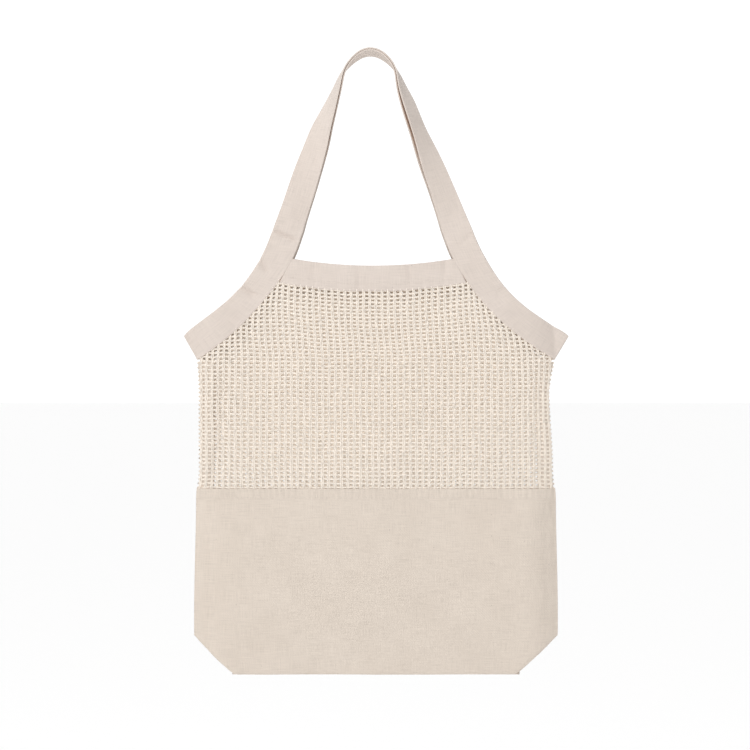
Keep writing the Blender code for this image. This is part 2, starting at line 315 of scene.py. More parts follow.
def cloth_point(u, z, y_sign, out=0.0):
    """A point of a wall or gusset, u along the cloth from the centre line (left is negative)."""
    u, z = np.broadcast_arrays(np.asarray(u, float), np.asarray(z, float))
    c = np.abs(u)
    sections = [section(c, z, sign, y_sign) for sign in (-1, 1)]
    further = [section(c + 1e-4, z, sign, y_sign) for sign in (-1, 1)]
    left = u < 0
    x, depth = (np.where(left, a, b) for a, b in zip(*sections))
    x2, depth2 = (np.where(left, a, b) for a, b in zip(*further))
    normal = np.stack([depth - depth2, x2 - x])
    normal = normal / np.maximum(np.hypot(*normal), 1e-9)
    lift = relief(u, z, y_sign) + out
    x = x + normal[0] * lift
    depth = depth + normal[1] * lift
    return np.stack([drawn_in(np.where(left, -x, x), z), y_sign * depth, z + BOTTOM], axis=-1)


def straight_out(points, y_sign):
    """The direction away from the middle plane, at each of some points."""
    return np.broadcast_to([0.0, float(y_sign), 0.0], points.shape)


# Meshes -----------------------------------------------------------------------------------------

def new_object(name, vertices, faces, uvs, material):
    """A smooth-shaded mesh, with cloth coordinates in metres in the UV map named cloth."""
    mesh = bpy.data.meshes.new(name)
    mesh.from_pydata(vertices, [], faces)
    layer = mesh.uv_layers.new(name="cloth")
    corners = np.zeros(len(mesh.loops), np.int32)
    mesh.loops.foreach_get("vertex_index", corners)
    layer.data.foreach_set("uv", np.asarray(uvs, np.float32)[corners].ravel())
    mesh.shade_smooth()
    mesh.materials.append(material)
    obj = bpy.data.objects.new(name, mesh)
    bpy.context.scene.collection.objects.link(obj)
    return obj


def grid_normals(points):
    """The cloth's normal at each point of a grid."""
    across = np.gradient(points, axis=1)
    along = np.gradient(points, axis=0)
    normal = np.cross(across, along)
    return normal / np.maximum(np.linalg.norm(normal, axis=-1, keepdims=True), 1e-12)


def shell(name, points, cloth, thickness, material, joined=None):
    """A closed piece of cloth with a rounded rim, around a grid of middle points. Where the grid
    points are joined to the next piece, the end is flat and its edges are sharp, so that the
    shading of the two runs on."""
    rows, columns = points.shape[:2]
    if joined is None:
        joined = np.zeros((rows, columns), bool)
    flat = points.reshape(-1, 3)
    up = grid_normals(points).reshape(-1, 3)
    half = np.broadcast_to(0.5 * np.asarray(thickness), (rows, columns)).reshape(-1, 1)
    index = np.arange(rows * columns).reshape(rows, columns)
    loop = np.concatenate([index[0, :], index[1:, -1], index[-1, -2::-1], index[-2:0:-1, 0]])
    ahead = np.roll(flat[loop], -1, 0) - np.roll(flat[loop], 1, 0)
    away = np.cross(ahead, up[loop])
    away = away / np.maximum(np.linalg.norm(away, axis=1, keepdims=True), 1e-12)
    bulge = np.where(joined.ravel()[loop], 0.0, 0.55)[:, None]
    middle = flat[loop] + away * half[loop] * bulge
    vertices = np.concatenate([flat + up * half, flat - up * half, middle])
    size = rows * columns
    quads = np.stack([index[:-1, :-1], index[:-1, 1:], index[1:, 1:], index[1:, :-1]], -1)
    quads = quads.reshape(-1, 4)
    ring = np.arange(len(loop)) + 2 * size
    after, ring_after = np.roll(loop, -1), np.roll(ring, -1)
    upper = np.stack([loop, ring, ring_after, after], -1)
    lower = np.stack([ring, loop + size, after + size, ring_after], -1)
    faces = np.concatenate([quads, quads[:, ::-1] + size, upper, lower])
    flat_uv = cloth.reshape(-1, 2)
    uvs = np.concatenate([flat_uv, flat_uv, flat_uv[loop]])
    piece = new_object(name, vertices, faces.tolist(), uvs, material)
    ends = joined.ravel()[loop] & joined.ravel()[after]
    if ends.any():
        pairs = np.stack([loop, after], -1)[ends]
        sharpen(piece.data, np.concatenate([pairs, pairs + size]))
    return piece


def sharpen(mesh, pairs):
    """Marks the edges between pairs of vertices as sharp."""
    edges = np.zeros(2 * len(mesh.edges), np.int64)
    mesh.edges.foreach_get("vertices", edges)
    count = len(mesh.vertices)
    edges, pairs = np.sort(edges.reshape(-1, 2), 1), np.sort(pairs, 1)
    sharp = np.isin(edges[:, 0] * count + edges[:, 1], pairs[:, 0] * count + pairs[:, 1])
    mesh.attributes.new("sharp_edge", "BOOLEAN", "EDGE").data.foreach_set("value", sharp)


def tubes(name, paths, radius, sides, material):
    """Round yarns along paths. A path is (points, outward direction). Each yarn's ends are closed
    with a sharp rim, so that the shading of its side isn't bent towards its end."""
    vertices, faces, uvs, rims = [], [], [], []
    start = 0
    angles = np.arange(sides) * 2 * math.pi / sides
    for number, (points, out) in enumerate(paths):
        ahead = np.gradient(points, axis=0)
        ahead = ahead / np.maximum(np.linalg.norm(ahead, axis=1, keepdims=True), 1e-12)
        across = np.cross(ahead, out)
        across = across / np.maximum(np.linalg.norm(across, axis=1, keepdims=True), 1e-12)
        raised = np.cross(across, ahead)
        ring = (np.cos(angles)[None, :, None] * across[:, None]
                + np.sin(angles)[None, :, None] * raised[:, None])
        vertices.append((points[:, None] + radius * ring).reshape(-1, 3))
        lengths = run_lengths(points)
        turn = np.broadcast_to(angles / (2 * math.pi), (len(points), sides))
        along = np.broadcast_to(lengths[:, None] + 0.137 * number, (len(points), sides))
        uvs.append(np.stack([turn, along], -1).reshape(-1, 2))
        index = start + np.arange(len(points) * sides).reshape(len(points), sides)
        side_on = np.roll(index, -1, 1)
        quads = np.stack([index[:-1], side_on[:-1], side_on[1:], index[1:]], -1).reshape(-1, 4)
        faces += quads.tolist()
        faces += [index[0, ::-1].tolist(), index[-1].tolist()]
        rims += [np.stack([index[end], side_on[end]], -1) for end in (0, -1)]
        start += len(points) * sides
    made = new_object(name, np.concatenate(vertices), faces, np.concatenate(uvs), material)
    sharpen(made.data, np.concatenate(rims))
    return made


# Materials --------------------------------------------------------------------------------------

class Graph:
    """A material's node tree, with short calls for the nodes that the cloths share."""

    def __init__(self, name, roughness, sheen):
        self.material = bpy.data.materials.new(name)
        self.material.use_nodes = True
        self.tree = self.material.node_tree
        self.shader = self.tree.nodes["Principled BSDF"]
        self.shader.inputs["Roughness"].default_value = roughness
        self.shader.inputs["Specular IOR Level"].default_value = 0.25
        self.shader.inputs["Sheen Weight"].default_value = sheen
        self.shader.inputs["Sheen Roughness"].default_value = 0.55
        self.uv = self.tree.nodes.new("ShaderNodeUVMap")
        self.uv.uv_map = "cloth"
        parts = self.tree.nodes.new("ShaderNodeSeparateXYZ")
        self.link(self.uv.outputs[0], parts.inputs[0])
        self.u, self.v = parts.outputs[0], parts.outputs[1]

    def link(self, output, socket):
        self.tree.links.new(output, socket)

    def math(self, operation, first, second=None, third=None):
        """A maths node's output, from sockets or numbers."""
        node = self.tree.nodes.new("ShaderNodeMath")
        node.operation = operation
        for socket, value in zip(node.inputs, (first, second, third)):
            if value is None:
                continue
            if isinstance(value, (int, float)):
                socket.default_value = value
            else:
                self.link(value, socket)
        return node.outputs[0]

    def stretched(self, scale):
        """Cloth coordinates times a scale in each direction."""
        node = self.tree.nodes.new("ShaderNodeVectorMath")
        node.operation = "MULTIPLY"
        node.inputs[1].default_value = (*scale, 1.0)
        self.link(self.uv.outputs[0], node.inputs[0])
        return node.outputs[0]

    def noise(self, scale, detail=2.0):
        """Noise with a scale of its own in each direction of the cloth."""
        node = self.tree.nodes.new("ShaderNodeTexNoise")
        node.inputs["Scale"].default_value = 1.0
        node.inputs["Detail"].default_value = detail
        self.link(self.stretched(scale), node.inputs["Vector"])
        return node.outputs["Fac"]

    def thread(self, coordinate, pitch):
        """A wave with one crest for each pair of threads."""
        return self.math("SINE", self.math("MULTIPLY", coordinate, math.pi / pitch))

    def ramp(self, value, stops):
        """A colour ramp of (place, colour) stops."""
        node = self.tree.nodes.new("ShaderNodeValToRGB")
        node.color_ramp.elements[0].position = stops[0][0]
        node.color_ramp.elements[0].color = (*stops[0][1], 1.0)
        node.color_ramp.elements[1].position = stops[-1][0]
        node.color_ramp.elements[1].color = (*stops[-1][1], 1.0)
        for place, colour in stops[1:-1]:
            node.color_ramp.elements.new(place).color = (*colour, 1.0)
        self.link(value, node.inputs[0])
        return node.outputs[0]

    def mix(self, share, first, second, blend="MIX"):
        """Two colours mixed, each a socket or a colour."""
        node = self.tree.nodes.new("ShaderNodeMix")
        node.data_type = "RGBA"
        node.blend_type = blend
        for socket, value in ((node.inputs[0], share), (node.inputs[6], first),
                              (node.inputs[7], second)):
            if isinstance(value, float):
                socket.default_value = value
            elif isinstance(value, tuple):
                socket.default_value = (*value, 1.0)
            else:
                self.link(value, socket)
        return node.outputs[2]

    def bump(self, height, distance, strength=1.0):
        """Adds a bump under those already there."""
        node = self.tree.nodes.new("ShaderNodeBump")
        node.inputs["Distance"].default_value = distance
        node.inputs["Strength"].default_value = strength
        self.link(height, node.inputs["Height"])
        before = self.shader.inputs["Normal"].links
        if before:
            self.link(before[0].from_socket, node.inputs["Normal"])
        self.link(node.outputs[0], self.shader.inputs["Normal"])

    def colour(self, value, shadow, reach, open_at=0.50):
        """The base colour times a painted shade: warmer and darker deep between the threads and
        layers of cloth, where an ambient occlusion node finds cloth close by.
        """
        node = self.tree.nodes.new("ShaderNodeAmbientOcclusion")
        node.samples = 6
        node.inputs["Distance"].default_value = reach
        # painted shade: the ambient occlusion's darkness, turned into a warm colour that multiplies
        # the base colour
        deep = self.ramp(node.outputs["AO"], ((0.0, shadow), (open_at, (1.0, 1.0, 1.0))))
        self.link(self.mix(1.0, value, deep, "MULTIPLY"), self.shader.inputs["Base Color"])


def woven(name, colour, pitch, specks, relief_share=1.0, roughness=0.92):
    """Plain-woven cotton: threads over and under, slubs both ways, blotches and seed specks, with
    painted shade between the threads and where layers of cloth lie close.
    relief_share scales how deep its threads stand."""
    graph = Graph(name, roughness, 0.12)
    dark = tuple(0.86 * value for value in colour)
    light = tuple(min(1.0, 1.09 * value) for value in colour)
    weft = graph.noise((55.0, 1500.0), 3.0)
    warp = graph.noise((1500.0, 55.0), 3.0)
    slubs = graph.math("ADD", graph.math("MULTIPLY", weft, 0.55),
                       graph.math("MULTIPLY", warp, 0.45))
    tone = graph.ramp(slubs, ((0.30, dark), (0.50, colour), (0.72, light)))
    blotch = graph.ramp(graph.noise((22.0, 22.0), 3.0),
                        ((0.30, (0.955, 0.950, 0.945)), (0.70, (1.0, 1.0, 1.0))))
    tone = graph.mix(1.0, tone, blotch, "MULTIPLY")
    over = graph.math("MULTIPLY", graph.thread(graph.u, pitch), graph.thread(graph.v, pitch))
    shade = graph.ramp(graph.math("MULTIPLY_ADD", over, 0.5, 0.5),
                       ((0.0, (0.93, 0.925, 0.92)), (0.8, (1.0, 1.0, 1.0))))
    tone = graph.mix(1.0, tone, shade, "MULTIPLY")
    cells = graph.tree.nodes.new("ShaderNodeTexVoronoi")
    cells.inputs["Scale"].default_value = 1.0
    graph.link(graph.stretched((150.0, 130.0)), cells.inputs["Vector"])
    near = graph.math("LESS_THAN", cells.outputs["Distance"], 0.075)
    chosen = graph.tree.nodes.new("ShaderNodeSeparateColor")
    graph.link(cells.outputs["Color"], chosen.inputs[0])
    rare = graph.math("LESS_THAN", chosen.outputs[0], specks)
    speck = graph.math("MULTIPLY", graph.math("MULTIPLY", near, rare), 0.55)
    tone = graph.mix(speck, tone, tuple(0.52 * value for value in colour))
    # painted shade: warm brown multiplied into the colour where cloth lies close, as in the gap
    # between the two straps
    graph.colour(tone, (0.80, 0.52, 0.34), 0.012)
    rough = graph.math("MULTIPLY_ADD", slubs, 0.16, roughness - 0.08)
    graph.link(rough, graph.shader.inputs["Roughness"])
    graph.bump(graph.noise((9.0, 9.0), 2.0), 0.0010, 0.25)
    graph.bump(slubs, 0.00045, 0.5 * relief_share)
    graph.bump(over, 0.00016, 0.7 * relief_share)
    return graph.material


def yarn(name, colour, twist, roughness=0.9):
    """Soft spun yarn with its twist, thick and thin places and a little fuzz, with painted shade
    where yarns and cloth lie close.
    """
    graph = Graph(name, roughness, 0.20)
    dark = tuple(0.84 * value for value in colour)
    light = tuple(min(1.0, 1.06 * value) for value in colour)
    clumps = graph.noise((2.0, 260.0), 3.0)
    tone = graph.ramp(clumps, ((0.30, dark), (0.52, colour), (0.72, light)))
    lay = graph.math("ADD", graph.math("MULTIPLY", graph.v, 1.0 / twist), graph.u)
    strands = graph.math("SINE", graph.math("MULTIPLY", lay, 4 * math.pi))
    shade = graph.ramp(graph.math("MULTIPLY_ADD", strands, 0.5, 0.5),
                       ((0.0, (0.86, 0.84, 0.81)), (0.6, (1.0, 1.0, 1.0))))
    # painted shade: warm brown multiplied into the colour where yarn lies close to other yarn or
    # cloth, as in the net's holes near the bands and bindings
    graph.colour(graph.mix(1.0, tone, shade, "MULTIPLY"), (0.90, 0.68, 0.50), 0.040, 0.42)
    rough = graph.math("MULTIPLY_ADD", clumps, 0.14, roughness - 0.07)
    graph.link(rough, graph.shader.inputs["Roughness"])
    graph.bump(clumps, 0.0003, 0.5)
    graph.bump(strands, 0.00012, 0.8)
    return graph.material


CANVAS = woven("canvas_cloth", (0.700, 0.618, 0.538), 0.00085, 0.20)
TAPE = woven("tape_cloth", (0.670, 0.593, 0.537), 0.00065, 0.10, 0.45)
NET = yarn("net_yarn", (0.920, 0.840, 0.752), 0.0022)
THREAD = yarn("stitching_thread", (0.760, 0.690, 0.620), 0.0009)


# Baking pieces in place, and rows of stitches ----------------------------------------------------

def bend_side(piece):
    """Bakes a piece's place into its mesh."""
    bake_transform(piece)


def bend_handle(piece):
    """Bakes a strap piece's place into its mesh."""
    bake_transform(piece)


def stitches(name, line, out, pitch=0.0030, length=0.0021, radius=0.00025):
    """A row of short threads lying along a line, each with its ends going into the cloth."""
    lengths = run_lengths(line)
    paths = []
    for middle in np.arange(pitch, lengths[-1] - 0.5 * pitch, pitch):
        places = middle + length * np.array([-0.5, -0.38, 0.0, 0.38, 0.5])
        points = np.stack([np.interp(places, lengths, line[:, i]) for i in range(3)], -1)
        outward = np.stack([np.interp(places, lengths, out[:, i]) for i in range(3)], -1)
        sink = np.array([-0.00050, -0.00015, -0.00005, -0.00015, -0.00050])
        paths.append((points + outward * sink[:, None], outward))
    return tubes(name, paths, radius, 5, THREAD)


# Canvas walls -----------------------------------------------------------------------------------

def canvas_floor(c):
    """Height of the canvas's bottom edge: level, then up the 45 degree fold."""
    return FOOT_SOFT * np.logaddexp(0.0, (c - CREASE_X) / FOOT_SOFT)


def canvas_half(side, hand):
    """Half a canvas wall with its gusset strip and its hem's stitches."""
    sign, y_sign = HANDS[hand], SIDES[side]
    c = spaced(0.0, HALF_CLOTH, 0.0015)
    low = canvas_floor(c)
    share = np.concatenate([spaced(0.0, 0.93, 0.016, 0.003), np.linspace(0.935, 1.0, 14)])
    z = low[None, :] + (CANVAS_TOP - low[None, :]) * share[:, None]
    u = sign * np.broadcast_to(c, z.shape)
    points = cloth_point(u, z, y_sign)
    above = (z - low[None, :]) / 0.0020
    points[..., 1] -= y_sign * 0.0010 * np.clip(1.0 - above, 0.0, 1.0) ** 2
    cloth, joined = np.stack([u, z], -1), u == 0.0
    if sign * y_sign > 0:
        points, cloth, joined = points[:, ::-1], cloth[:, ::-1], joined[:, ::-1]
    piece = shell("%s_%s_canvas" % (side, hand), points, cloth, CANVAS_THICK, CANVAS, joined)
    bend_side(piece)
    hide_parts(side + "_canvas_wall", side + "_canvas_hem",
                "%s_%s_canvas_gusset" % (hand, side))
    hem_u = sign * np.linspace(0.001, HALF_CLOTH - 0.002, 90)
    hem_z = np.full_like(hem_u, CANVAS_TOP - HEM + HEM_STITCH)
    line = cloth_point(hem_u, hem_z, y_sign, 0.5 * CANVAS_THICK)
    row = stitches("%s_%s_hem_stitches" % (side, hand), line, straight_out(line, y_sign))
    bend_side(row)


# Net walls --------------------------------------------------------------------------------------

def net_shift(u, z, seed):
    """How far the net's yarns wander from their straight grid, sideways and up."""
    below = armhole_height(u) - z
    pull = np.sign(u) * 0.0024 * np.exp(-np.clip(below, 0.0, None) / 0.014)
    pull = pull * smooth(np.abs(u), 0.085, 0.110)
    sideways = 0.00030 * waves(u, z, 300, 0.060) + 0.00006 * waves(u, z, seed, 0.030) - pull
    up = 0.00045 * waves(u, z, 301, 0.045) + 0.00012 * waves(u, z, seed + 1, 0.020)
    sag = MOUTH_SAG * (1.0 - np.clip(u / BAND_FOOT[0], -1, 1) ** 2) * smooth(z, 0.30, 0.41)
    return sideways, up - sag


def net_half(side, hand):
    """Half a net wall with its gusset strip: columns of two plies side by side, lying on rows of a
    single thicker yarn and sunk into them by turns. The yarns aren't interlaced: their volumes
    overlap where they cross. They cast no shadow, which brings the net's tone to the photo's."""
    sign, y_sign = HANDS[hand], SIDES[side]
    seed = 100 if y_sign < 0 else 200
    draw = np.random.default_rng(seed + sign)
    offset = 0.5 if y_sign < 0 else 0.0
    lift_row = 0.0 if y_sign < 0 else 0.5
    first_row = CANVAS_TOP - NET_FOOT
    paths = []

    def yarn_path(u, z, out):
        """Keeps the part of a yarn that lies between the canvas and the bindings."""
        sideways, up = net_shift(u, z, seed)
        u, z = u + sideways, z + up
        if y_sign > 0:
            u, z = u * BACK_STRETCH, STRETCH_HEIGHT + (z - STRETCH_HEIGHT) * BACK_STRETCH
        u = np.clip(u, -HALF_CLOTH + 0.0006, HALF_CLOTH - 0.0006)
        inside = (z < armhole_height(u) + NET_TUCK) & (z > CANVAS_TOP - 0.0045)
        if inside.sum() < 4:
            return
        out = out - NET_SINK * smooth(-z, -CANVAS_TOP - 0.0025, -CANVAS_TOP)
        points = cloth_point(u, z, y_sign, out)[inside]
        paths.append((points, straight_out(points, y_sign)))

    columns = int((HALF_CLOTH - 0.0015) / NET_COLUMN - offset) + 1
    for column in range(columns):
        c = (column + offset) * NET_COLUMN
        if c == 0.0 and hand == "left":
            continue
        top = float(armhole_height(c)) + NET_TUCK + 0.012
        z = np.arange(first_row, top, NET_ROW / 3.0)
        wander = 0.00010 * np.sin(2 * math.pi * z / draw.uniform(0.012, 0.028)
                                  + draw.uniform(0.0, 6.28))
        turn = math.pi * ((z - first_row) / NET_ROW + 0.5 - lift_row) + draw.uniform(-0.2, 0.2)
        for ply in (0.0, math.pi):
            u = sign * c + wander + NET_PLY_SPREAD * (math.cos(ply) + 0.10 * np.cos(2.0 * turn))
            yarn_path(u, z, PLY_LIFT + 0.5 * NET_PLY_SPREAD * np.sin(turn + ply))
    plies = len(paths)
    rows = int((BAND_EDGE[1] - first_row) / NET_ROW)
    for row in range(rows):
        level = first_row + (row + lift_row) * NET_ROW
        c = np.arange(-ROW_OVERLAP, HALF_CLOTH - 0.0008, NET_COLUMN / 3.0)
        wander = 0.00018 * np.sin(2 * math.pi * c / draw.uniform(0.010, 0.022)
                                  + draw.uniform(0.0, 6.28))
        dip = ROW_WAVE * np.cos(2 * math.pi * (c / NET_COLUMN - offset))
        out = ROW_WAVE * np.cos(math.pi * (c / NET_COLUMN - offset) + math.pi * row)
        yarn_path(sign * c, level + wander + dip * draw.uniform(0.2, 1.4), out - ROW_DEPTH)
    columns_piece = tubes("%s_%s_net_columns" % (side, hand), paths[:plies], NET_PLY, 6, NET)
    rows_piece = tubes("%s_%s_net_rows" % (side, hand), paths[plies:], NET_WEFT, 6, NET)
    for piece in (columns_piece, rows_piece):
        piece.visible_shadow = False
        bend_side(piece)
        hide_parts(side + "_net_wall", "%s_%s_net_gusset" % (hand, side))


# Bands and straps -------------------------------------------------------------------------------

def top_band(side):
    """The tape along the mouth between the straps, with its stitches."""
    y_sign = SIDES[side]
    share = spaced(0.0, 1.0, 0.14, 0.03)
    place = np.linspace(-1.0, 1.0, 121)
    lower = np.stack([place * (BAND_FOOT[0] - 0.001),
                      mouth_height(place * BAND_FOOT[0], BAND_FOOT)])
    upper = np.stack([place * (BAND_EDGE[0] + 0.0015),
                      mouth_height(place * BAND_EDGE[0], BAND_EDGE)])
    lower[1] += 0.00035 * waves(lower[0], 0 * place, 5, 0.030)
    grid = lower[:, None, :] + (upper - lower)[:, None, :] * share[None, :, None]
    u, z = grid
    points = cloth_point(u, z, y_sign)
    cloth = np.stack([u, z], -1)
    if y_sign > 0:
        points, cloth = points[:, ::-1], cloth[:, ::-1]
    piece = shell(side + "_top_band_cloth", points, cloth, BAND_THICK, TAPE)
    row = 3     # the row of the grid that the stitches follow
    line = cloth_point(u[row, 4:-4], z[row, 4:-4], y_sign, 0.5 * BAND_THICK)
    thread = stitches(side + "_band_stitches", line, straight_out(line, y_sign))
    for part in (piece, thread):
        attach(part, side + "_wall")
    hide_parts(side + "_top_band")


def strap_grooves(x, z, y_sign):
    """The creases pressed into the front strap: how far its tape stands out, below 0 for in."""
    grooves = 0.0
    if y_sign < 0:
        for start, end, depth, width in STRAP_GROOVES:
            grooves = grooves + crease(x + lean(z), z, start, end, depth, width)
    return grooves


def binding_edges(t):
    """Inner and outer edges of an armhole's tape at shares of its length."""
    return along_line(INNER_LINE, t), along_line(OUTER_LINE, t)


def cloth_from_x(x):
    """Distance along the cloth for a distance from the centre line."""
    c = np.linspace(0.0, HALF_CLOTH + 0.012, 600)
    strip = past_crease(c)
    return np.interp(x, c - strip + strip * math.cos(FOLD), c)


def binding_end(side, hand):
    """The armhole binding from the middle of the armhole down to its sewn end."""
    sign, y_sign = HANDS[hand], SIDES[side]
    t = spaced(SPLIT, 1.0, 0.012, 0.004)
    inner, outer = binding_edges(t)
    share = spaced(0.0, 1.0, 0.06, 0.025)
    grid = inner[:, None] + (outer - inner)[:, None] * share[None, :, None]
    x, z = grid[..., 0], grid[..., 1]
    c = cloth_from_x(x)
    beyond = np.clip(c - HALF_CLOTH, 0.0, None)
    points = cloth_point(sign * np.minimum(c, HALF_CLOTH - 0.0002), z, y_sign)
    points[..., 0] += sign * beyond * TIP_STRETCH[hand]
    grooves = strap_grooves(sign * x, z, y_sign)
    points[..., 1] += y_sign * (grooves + 0.0006 * smooth(x, 0.150, SEAM_X))
    if y_sign > 0:
        keep = smooth(-x, -SEAM_X - 0.004, -SEAM_X + 0.002)
        points[..., 0] -= sign * beyond * 0.8 * (1 - keep)
    cloth = np.stack([t[:, None] * 0.16 + 0 * x, share[None, :] * STRAP_WIDTH + 0 * x], -1)
    joined = np.broadcast_to(t[:, None] == SPLIT, x.shape)
    if sign * y_sign < 0:
        points, cloth = points[:, ::-1], cloth[:, ::-1]
    piece = shell("%s_%s_binding" % (side, hand), points, cloth, TAPE_THICK, TAPE, joined)
    bend_side(piece)
    nodes = ["%s_%s_binding_end" % (hand, side), "%s_%s_armhole_binding" % (side, hand)]
    if side == "front":
        nodes.append(hand + "_binding_tip")
    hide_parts(*nodes)


def strap_half(y_sign, hand):
    """Edges of a strap from one armhole up to the top of its handle."""
    inner, outer = binding_edges(np.linspace(SPLIT, 0.0, 40))
    place = cubic(HANDLE_ARCH, np.linspace(0.02, 1.0, 120))
    place[:, 0] *= 1.0 + ARCH_SPREAD[0] * smooth(place[:, 1], *ARCH_SPREAD[1:])
    ahead = np.gradient(place, axis=0)
    ahead = ahead / np.linalg.norm(ahead, axis=1, keepdims=True)
    ahead[-1] = (-1.0, 0.0)
    lengths = run_lengths(place)
    share = lengths / lengths[-1]
    outward = np.stack([ahead[:, 1], -ahead[:, 0]], -1)
    square = np.clip(lengths / SQUARE_END, 0.0, 1.0)[:, None]
    across = np.array([1.0, 0.0]) * (1 - square) + outward * square
    across = across / np.linalg.norm(across, axis=1, keepdims=True)
    width = STRAP_WIDTH + (HANDLE_WIDTH - STRAP_WIDTH) * smooth(lengths, -0.01, 0.03)
    half = width / 2 / np.maximum((across * outward).sum(1), 0.5)
    start = TURN_START[hand]
    turned, unturned = (smooth(value, start, 1.0) for value in (share, 0.0))
    turn = TOP_TURN * (turned - unturned) / (1.0 - unturned)
    turn = turn - TURN_PAUSE[hand] * np.exp(-((share - PAUSE_PLACE) / PAUSE_WIDTH) ** 2)
    shift = np.zeros(len(place))
    if y_sign > 0:
        nest = TOP_GAP * smooth(share, 0.0, 0.8) + SIDE_GAP * np.sin(math.pi * share) ** 4
        place = place - outward * nest[:, None]
        shift = HANDS[hand] * BACK_SHIFT * smooth(share, 0.1, 0.45) * smooth(-share, -0.8, -0.6)
    flat = across * (half * np.cos(turn))[:, None]
    y_centre = y_sign * HALF_DEPTH * (1.0 - share) ** STRAP_CONVERGE
    y_edge = half * np.sin(turn)
    foot_y = np.full(len(inner), y_sign * HALF_DEPTH)
    edges = []
    for side, line in ((-1, inner), (1, outer)):
        below = np.column_stack([line[:, 0], foot_y, line[:, 1]])
        above = np.column_stack([place[:, 0] + shift + side * flat[:, 0],
                                 y_centre + side * y_edge, place[:, 1] + side * flat[:, 1]])
        edges.append(np.concatenate([below, above]))
    return np.stack(edges, 1)


def strap_frame(y_sign):
    """Edges of a strap from the right armhole over the top to the left one."""
    right, left = strap_half(y_sign, "right"), strap_half(y_sign, "left")
    return np.concatenate([right, left[-2::-1] * np.array([-1.0, 1.0, 1.0])])


def resampled(edges, step):
    """The same edges at even steps, with the corner at the strap's foot rounded off."""
    middle = edges.mean(1)
    lengths = run_lengths(middle)
    places = np.linspace(0.0, lengths[-1], round(lengths[-1] / step) + 1)
    even = np.stack([[np.interp(places, lengths, edges[:, e, i]) for i in range(3)]
                     for e in range(2)])
    even = even.transpose(2, 0, 1)
    reach = 8
    weights = np.exp(-0.5 * (np.arange(-reach, reach + 1) / 3.4) ** 2)
    weights = weights / weights.sum()
    softened = sum(weight * np.roll(even, k, 0)
                   for k, weight in zip(range(-reach, reach + 1), weights))
    even[reach + 2:-reach - 2] = softened[reach + 2:-reach - 2]
    return even, places


def strap(side):
    """A handle and the upper part of both armhole bindings: one strap over the top."""
    y_sign = SIDES[side]
    edges, places = resampled(strap_frame(y_sign), STRAP_STEP)
    share = spaced(0.0, 1.0, 0.06, 0.025)
    points = edges[:, None, 0] + (edges[:, 1] - edges[:, 0])[:, None, :] * share[None, :, None]
    x, z = points[..., 0], points[..., 2]
    on_bag = 1.0 - smooth(z, *OFF_BAG)
    lift = strap_grooves(x, z, y_sign) + on_bag * relief(x, z, y_sign)
    lift = lift - y_sign * 0.0005 * waves(x * 2.0, z, 31, 0.075) * (1 - on_bag)
    normal = grid_normals(points)
    outward = np.sign((normal[:1] * np.array([0.0, float(y_sign), 0.0])).sum(-1, keepdims=True))
    points = points + normal * outward[0, 0] * lift[..., None]
    points[..., 0] += lean(z)
    points[..., 2] += BOTTOM
    cloth = np.stack([places[:, None] + 0 * x, share[None, :] * STRAP_WIDTH + 0 * x], -1)
    height = z.mean(1, keepdims=True)
    thickness = TAPE_THICK + (HANDLE_THICK - TAPE_THICK) * smooth(height, *HANDLE_THIN)
    joined = np.zeros(x.shape, bool)
    joined[[0, -1]] = True
    if y_sign > 0:
        points, cloth = points[:, ::-1], cloth[:, ::-1]
    piece = shell(side + "_strap", points, cloth, thickness, TAPE, joined)
    bend_handle(piece)
    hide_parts(side + "_handle", side + "_left_armhole_binding",
                side + "_right_armhole_binding")


# Base, corners and seam allowances --------------------------------------------------------------

def base_half(side):
    """Half the base, from the bottom edge up to the middle seam inside the bag."""
    y_sign = SIDES[side]
    v = spaced(0.0, 1.0, 0.05, 0.02)
    x = np.linspace(-CREASE_X + 0.0005, CREASE_X - 0.0005, 61)
    height = STRIP * math.cos(FOLD)
    depth = (HALF_DEPTH - 0.0010) * (1.0 - v) + 0.0006 * v - 0.0012 * np.sin(math.pi * v) ** 0.5
    rise = height * v ** 1.12
    u = x[None, :] + 0 * v[:, None]
    uneven = 0.0006 * waves(u, rise[:, None], 71 + y_sign, 0.07) * np.sin(math.pi * v)[:, None]
    points = np.stack([u, y_sign * (depth[:, None] + uneven), rise[:, None] + BOTTOM + 0 * u], -1)
    cloth = np.stack([u, STRIP * v[:, None] + 0.3 + 0 * u], -1)
    if y_sign < 0:
        points, cloth = points[:, ::-1], cloth[:, ::-1]
    piece = shell(side + "_base_cloth", points, cloth, CANVAS_THICK, CANVAS)
    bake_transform(piece)
    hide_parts(side + "_base_half")


